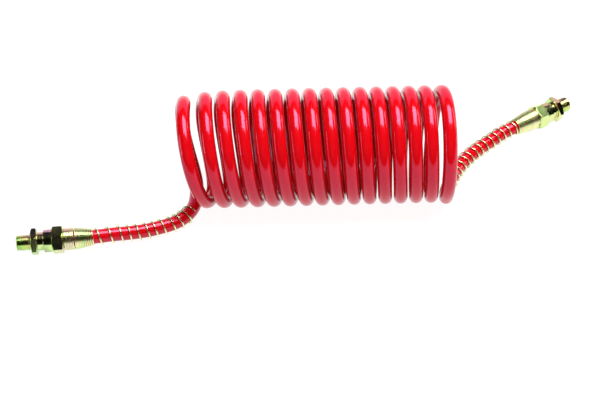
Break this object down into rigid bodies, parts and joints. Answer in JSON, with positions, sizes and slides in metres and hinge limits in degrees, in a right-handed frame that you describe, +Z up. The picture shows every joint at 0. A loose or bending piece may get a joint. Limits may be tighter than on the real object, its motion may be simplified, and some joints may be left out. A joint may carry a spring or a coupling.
{
  "type": "coiled air hose",
  "caption": "Red coiled air hose with a curved tail, a spring kink guard and a male-threaded compression fitting at each end.",
  "frame": {"origin": "on the ground under the middle of the coil, at the lowest point of its middle turn", "axes": "+X along the coil towards the right-hand tail, +Y to the far side, +Z up off the ground that the coil lies on"},
  "size_m": [0.5033, 0.1845, 0.1015],
  "materials": {
    "hose_red": "gloss",
    "zinc_steel": "yellow-passivated zinc plate",
    "zinc_wire": "yellow-passivated zinc plate",
    "brass": "turned"
  },
  "bodies": {
    "left_end": {"hose_coil": "hose_red", "hose_tail_left": "hose_red", "clamping_ring_left": "brass", "support_sleeve_left": "brass", "guard_spring_left": "zinc_wire"},
    "left_nut": {"union_nut_left": "zinc_steel"},
    "left_stud": {"threaded_stud_left": "zinc_steel"},
    "right_end": {"hose_tail_right": "hose_red", "clamping_ring_right": "brass", "support_sleeve_right": "brass", "guard_spring_right": "zinc_wire"},
    "right_nut": {"union_nut_right": "zinc_steel"},
    "right_stud": {"threaded_stud_right": "zinc_steel"}
  },
  "joints": [
    {"name": "coil_stretch", "type": "slide", "parent": "left_end", "child": "right_end", "axis": [1, 0, 0], "range_m": [0, 2.5], "stiffness_N_per_m": 10, "deforming": ["hose_coil"]},
    {"name": "left_nut_turn", "type": "hinge", "parent": "left_end", "child": "left_nut", "pos_m": [-0.22651, -0.06645, 0.01206], "axis": [0.9969, 0.0785, 0], "range_deg": [0, 1800]},
    {"name": "left_stud_out", "type": "slide", "parent": "left_end", "child": "left_stud", "axis": [-0.9969, -0.0785, 0], "range_m": [0, 0.0075]},
    {"name": "right_nut_turn", "type": "hinge", "parent": "right_end", "child": "right_nut", "pos_m": [0.20824, 0.08088, 0.01206], "axis": [-0.859, -0.512, 0], "range_deg": [0, 1800]},
    {"name": "right_stud_out", "type": "slide", "parent": "right_end", "child": "right_stud", "axis": [0.859, 0.512, 0], "range_m": [0, 0.0075]}
  ],
  "couplings": [
    {"joint": "left_nut_turn", "follows": "left_stud_out", "rad_per_m": 4188.8},
    {"joint": "right_nut_turn", "follows": "right_stud_out", "rad_per_m": 4188.8}
  ]
}
